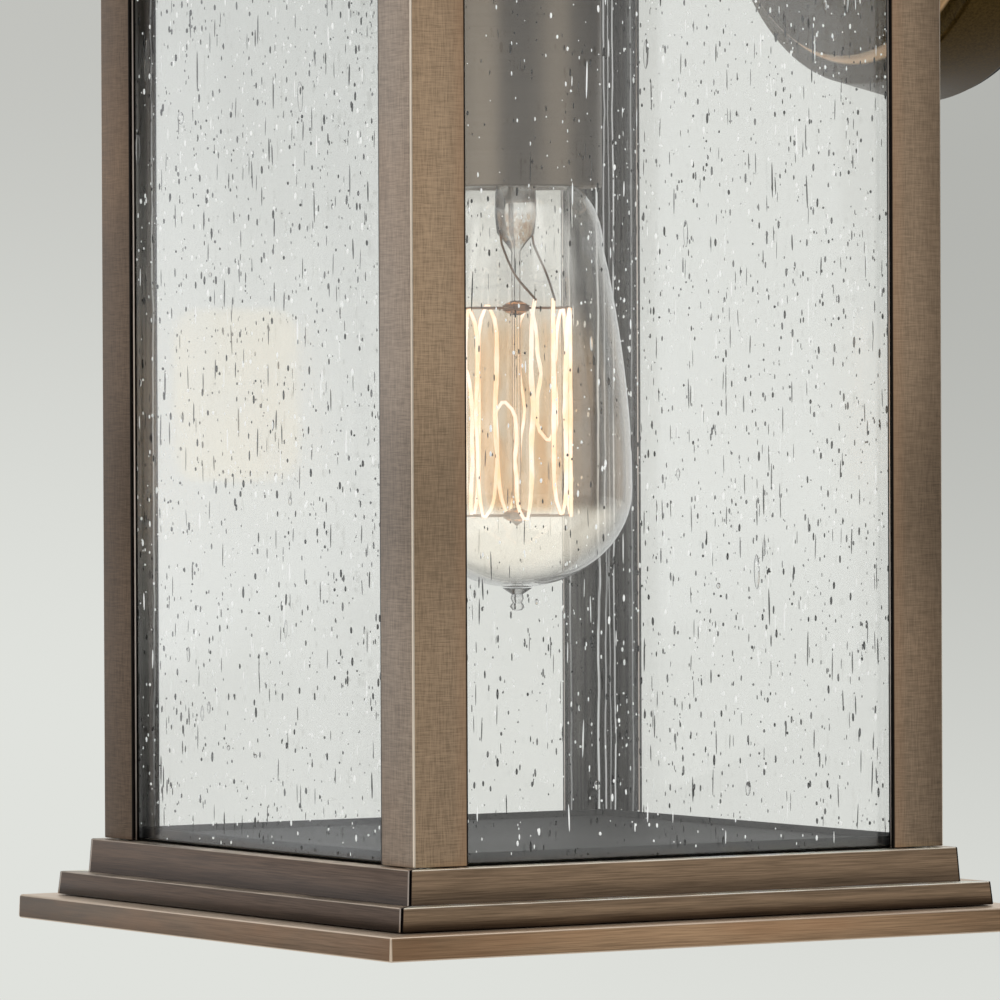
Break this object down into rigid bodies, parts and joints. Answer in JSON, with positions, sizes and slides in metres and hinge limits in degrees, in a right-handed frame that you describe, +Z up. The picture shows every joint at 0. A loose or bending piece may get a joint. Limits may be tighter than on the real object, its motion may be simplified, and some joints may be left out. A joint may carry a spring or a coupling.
{
  "type": "outdoor wall lantern",
  "caption": "Square wall lantern with seeded glass panes between corner posts, stepped base, lift-off hipped roof and screw-in lamp, on a short arm from a round canopy.",
  "frame": {"origin": "centre of the round canopy's back, on the wall face", "axes": "+Z up, -Y away from the wall, +X to the right as one faces the wall"},
  "size_m": [0.2032, 0.2421, 0.4195],
  "materials": {
    "brushed_bronze": "brushed, aged bronze",
    "dark_bronze": "dark aged bronze",
    "floor_bronze": "satin",
    "seeded_glass": "clear, seeded",
    "rubber_foam": "matte",
    "zinc_steel": "satin",
    "green_steel": "satin",
    "plain_brass": "satin",
    "porcelain": "gloss",
    "live_sleeve": "satin",
    "neutral_sleeve": "satin",
    "bare_copper": "satin",
    "bulb_glass": "clear",
    "black_vitrite": "gloss",
    "solder": "satin",
    "support_wire": "satin",
    "filament": "glowing"
  },
  "bodies": {
    "fixture": {"base_plate": "brushed_bronze", "base_moulding_front": "brushed_bronze", "base_moulding_back": "brushed_bronze", "base_moulding_left": "brushed_bronze", "base_moulding_right": "brushed_bronze", "post_front_right": "brushed_bronze", "post_back_right": "brushed_bronze", "post_back_left": "brushed_bronze", "post_front_left": "brushed_bronze", "frieze_front": "brushed_bronze", "frieze_back": "brushed_bronze", "frieze_left": "brushed_bronze", "frieze_right": "brushed_bronze", "arm_tube": "brushed_bronze", "arm_collar_canopy": "brushed_bronze", "arm_collar_frame": "brushed_bronze", "socket_cover": "brushed_bronze", "canopy": "dark_bronze", "floor_tray": "floor_bronze", "glass_retainer": "floor_bronze", "glass_front": "seeded_glass", "glass_back": "seeded_glass", "glass_left": "seeded_glass", "glass_right": "seeded_glass", "canopy_gasket": "rubber_foam", "crossbar": "zinc_steel", "canopy_stud_left": "zinc_steel", "canopy_stud_right": "zinc_steel", "box_screw_left": "zinc_steel", "box_screw_right": "zinc_steel", "arm_nut_canopy": "zinc_steel", "arm_nut_frame": "zinc_steel", "socket_strap": "zinc_steel", "ground_screw": "green_steel", "centre_pipe": "plain_brass", "strap_nut_lower": "plain_brass", "strap_nut_upper": "plain_brass", "cover_nut": "plain_brass", "socket_shell": "plain_brass", "socket_contact": "plain_brass", "socket_body": "porcelain", "live_lead": "live_sleeve", "neutral_lead": "neutral_sleeve", "ground_wire": "bare_copper"},
    "roof_assembly": {"roof": "brushed_bronze", "roof_cap": "brushed_bronze"},
    "finial": {"finial": "brushed_bronze"},
    "lamp_contact": {"bulb_contact": "solder"},
    "lamp": {"bulb_glass": "bulb_glass", "bulb_cap": "plain_brass", "bulb_insulator": "black_vitrite", "bulb_stem": "bulb_glass", "bulb_support_upper": "support_wire", "bulb_support_lower": "support_wire", "bulb_filament": "filament", "bulb_lead_left": "support_wire", "bulb_lead_right": "support_wire"},
    "cap_nut_left": {"cap_nut_left": "dark_bronze"},
    "cap_nut_right": {"cap_nut_right": "dark_bronze"}
  },
  "joints": [
    {"name": "roof_lift", "type": "slide", "parent": "fixture", "child": "roof_assembly", "axis": [0, 0, 1], "range_m": [0, 0.13]},
    {"name": "finial_turn", "type": "hinge", "parent": "roof_assembly", "child": "finial", "pos_m": [0, -0.1405, 0.09], "axis": [0, 0, 1], "continuous": true},
    {"name": "lamp_travel", "type": "slide", "parent": "fixture", "child": "lamp_contact", "axis": [0, 0, -1], "range_m": [0, 0.022]},
    {"name": "lamp_turn", "type": "hinge", "parent": "lamp_contact", "child": "lamp", "pos_m": [0, -0.1405, -0.1056], "axis": [0, 0, -1], "range_deg": [0, 2182]},
    {"name": "cap_nut_left_turn", "type": "hinge", "parent": "fixture", "child": "cap_nut_left", "pos_m": [-0.04445, -0.035, 0], "axis": [0, -1, 0], "continuous": true},
    {"name": "cap_nut_right_turn", "type": "hinge", "parent": "fixture", "child": "cap_nut_right", "pos_m": [0.04445, -0.035, 0], "axis": [0, -1, 0], "continuous": true}
  ],
  "couplings": [
    {"joint": "lamp_turn", "follows": "lamp_travel", "rad_per_m": 1730.9}
  ]
}
